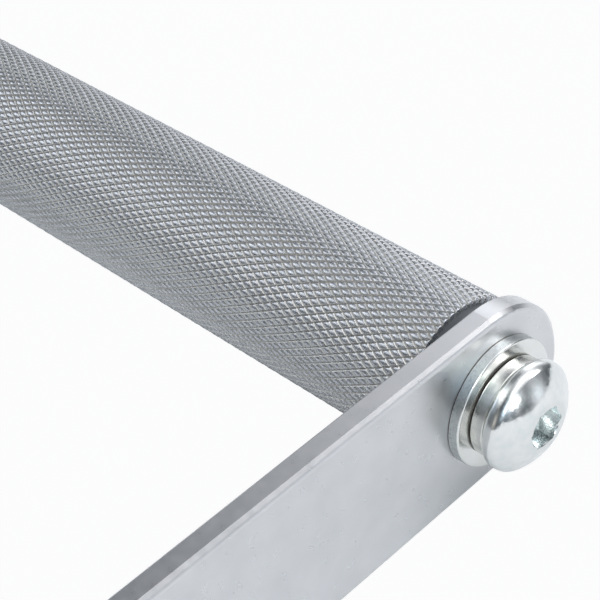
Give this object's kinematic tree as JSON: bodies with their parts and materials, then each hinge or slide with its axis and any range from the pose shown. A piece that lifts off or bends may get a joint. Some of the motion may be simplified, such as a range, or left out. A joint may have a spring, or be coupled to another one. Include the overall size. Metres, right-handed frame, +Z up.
{
  "type": "single cable handle",
  "caption": "Stirrup cable handle: a knurled grip that spins on an axle, held in a bent flat-bar frame with a swivel eye for the cable's clip.",
  "frame": {"origin": "on the floor, under the middle of the handle's outline as it lies flat on the lower edges of its bar", "axes": "+X along the grip's axis, -Y from the grip to the swivel eye, +Z up across the width of the bar"},
  "size_m": [0.1674, 0.1858, 0.03],
  "materials": {
    "satin_steel": "satin plated flat bar with a fine grain",
    "knurled_steel": "plated, with a fine diamond knurl",
    "axle_steel": "drawn bar, turned ends",
    "zinc_steel": "bright zinc plated",
    "forged_steel": "forged and bright zinc plated",
    "black_nylon": "moulded, smooth",
    "white_acetal": "turned, smooth",
    "blue_nylon": "moulded ring"
  },
  "bodies": {
    "frame": {"stirrup_strap": "satin_steel", "axle_rod": "axle_steel", "left_flat_washer": "zinc_steel", "right_flat_washer": "zinc_steel", "left_lock_washer": "zinc_steel", "right_lock_washer": "zinc_steel", "left_button_screw": "zinc_steel", "right_button_screw": "zinc_steel", "swivel_bush": "white_acetal", "outer_thrust_washer": "white_acetal", "inner_thrust_washer": "white_acetal"},
    "grip": {"grip_tube": "knurled_steel", "left_grip_bush": "black_nylon", "right_grip_bush": "black_nylon"},
    "swivel": {"swivel_eye": "forged_steel", "swivel_washer": "zinc_steel", "swivel_nut": "zinc_steel", "nut_insert": "blue_nylon"}
  },
  "joints": [
    {"name": "grip_spin", "type": "hinge", "parent": "frame", "child": "grip", "pos_m": [0, 0.0779, 0.015], "axis": [1, 0, 0], "continuous": true},
    {"name": "swivel_spin", "type": "hinge", "parent": "frame", "child": "swivel", "pos_m": [0, -0.0561, 0.015], "axis": [0, 1, 0], "continuous": true}
  ]
}
